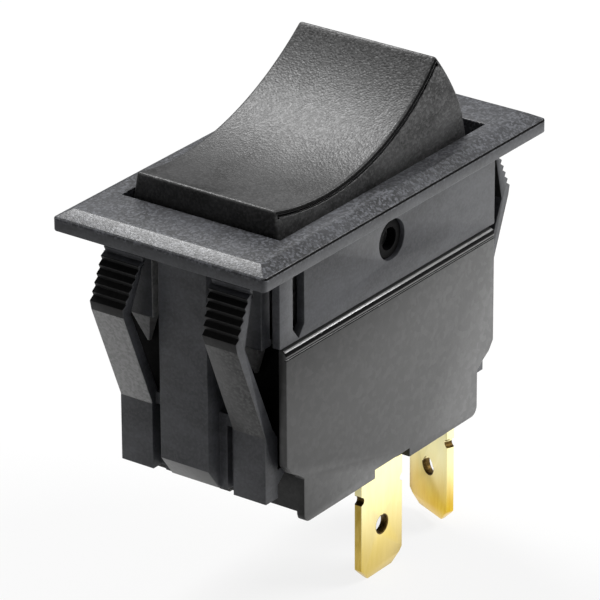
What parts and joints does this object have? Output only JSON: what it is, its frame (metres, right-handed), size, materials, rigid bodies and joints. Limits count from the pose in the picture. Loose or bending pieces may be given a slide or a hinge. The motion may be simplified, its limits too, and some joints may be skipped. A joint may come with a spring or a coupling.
{
  "type": "panel rocker switch",
  "caption": "Snap-in panel rocker switch: dished black rocker in a bevelled bezel, sprung side legs, moulded case with rocking contact lever and brass blade terminals.",
  "frame": {"origin": "centre of the bezel on the plane where its underside meets the panel", "axes": "+X along the bezel towards the raised end of the rocker, +Y across it, +Z out of the panel"},
  "size_m": [0.043, 0.0228, 0.047],
  "materials": {
    "bezel_plastic": "moulded black plastic with a fine grain, satin",
    "rocker_plastic": "moulded black plastic with a spark-eroded grain, matte",
    "case_plastic": "smooth dark grey moulding, satin",
    "plunger_plastic": "natural nylon",
    "spring_steel": "bright spring wire",
    "lever_brass": "stamped strip, rolled surface",
    "contact_silver": "silver alloy, dull",
    "rivet_brass": "headed brass wire",
    "blade_brass": "stamped brass strip, light even sheen, duller cut edges"
  },
  "bodies": {
    "housing": {"bezel_frame": "bezel_plastic", "case_body": "case_plastic", "lever_cradle": "lever_brass", "cradle_rivet": "rivet_brass", "terminal_common": "blade_brass", "terminal_load": "blade_brass", "fixed_contact": "contact_silver"},
    "rocker": {"rocker": "rocker_plastic", "plunger_spring": "spring_steel"},
    "plunger": {"plunger": "plunger_plastic"},
    "lever": {"contact_lever": "lever_brass", "moving_contact": "contact_silver"}
  },
  "joints": [
    {"name": "rocker_hinge", "type": "hinge", "parent": "housing", "child": "rocker", "pos_m": [0.0003, 0, -0.0035], "axis": [0, 1, 0], "range_deg": [0, 28.9]},
    {"name": "plunger_slide", "type": "slide", "parent": "rocker", "child": "plunger", "axis": [-0.2495, 0, 0.9684], "range_m": [0, 0.0008], "stiffness_N_per_m": 400, "springref_m": -0.001, "deforming": ["plunger_spring"]},
    {"name": "lever_hinge", "type": "hinge", "parent": "housing", "child": "lever", "pos_m": [0.0003, -0.0044, -0.0154], "axis": [0, 1, 0], "range_deg": [-18.1, 0]}
  ],
  "couplings": [
    {"joint": "lever_hinge", "follows": "rocker_hinge", "ratio": -0.62284}
  ]
}
